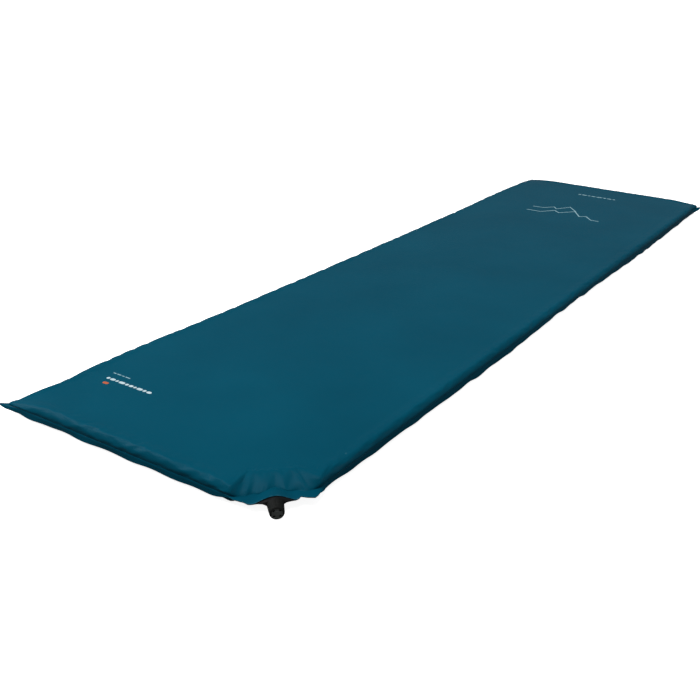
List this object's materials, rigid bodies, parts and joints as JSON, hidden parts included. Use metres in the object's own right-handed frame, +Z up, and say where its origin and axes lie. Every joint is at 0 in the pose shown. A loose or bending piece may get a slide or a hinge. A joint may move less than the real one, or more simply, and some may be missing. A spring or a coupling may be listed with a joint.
{
  "type": "inflatable sleeping pad",
  "caption": "Self-inflating sleeping mat: foam between two welded sheets, with a screw valve at a cut corner whose cap turns and moves out to let air in.",
  "frame": {"origin": "on the ground, under the centre of the mat's rectangle", "axes": "+Z up, +Y along the mat from the valve end to the far end, +X to the right seen from the valve end, so the valve is at the +X, -Y corner"},
  "size_m": [0.51, 1.83, 0.03],
  "materials": {
    "top_fabric": "fine plain weave, coated inside, soft sheen",
    "bottom_fabric": "fine plain weave, coated inside, soft sheen",
    "open_cell_foam": "matte open-cell foam",
    "soft_plastic": "matte soft moulding",
    "stem_plastic": "moulded, satin",
    "cap_plastic": "moulded, satin",
    "seal_rubber": "matte"
  },
  "bodies": {
    "mat": {"bottom_sheet": "bottom_fabric", "foam_core": "open_cell_foam", "top_sheet": "top_fabric", "valve_base": "soft_plastic", "valve_stem": "stem_plastic", "stem_o_ring": "seal_rubber"},
    "cap_seal": {"cap_gasket": "seal_rubber"},
    "cap": {"valve_cap": "cap_plastic"}
  },
  "joints": [
    {"name": "cap_travel", "type": "slide", "parent": "mat", "child": "cap_seal", "axis": [0.7071, -0.7071, 0], "range_m": [0, 0.003]},
    {"name": "cap_turn", "type": "hinge", "parent": "cap_seal", "child": "cap", "pos_m": [0.22073, -0.88427, 0.015], "axis": [0.7071, -0.7071, 0], "range_deg": [0, 360]}
  ],
  "couplings": [
    {"joint": "cap_turn", "follows": "cap_travel", "rad_per_m": 2094.4}
  ]
}
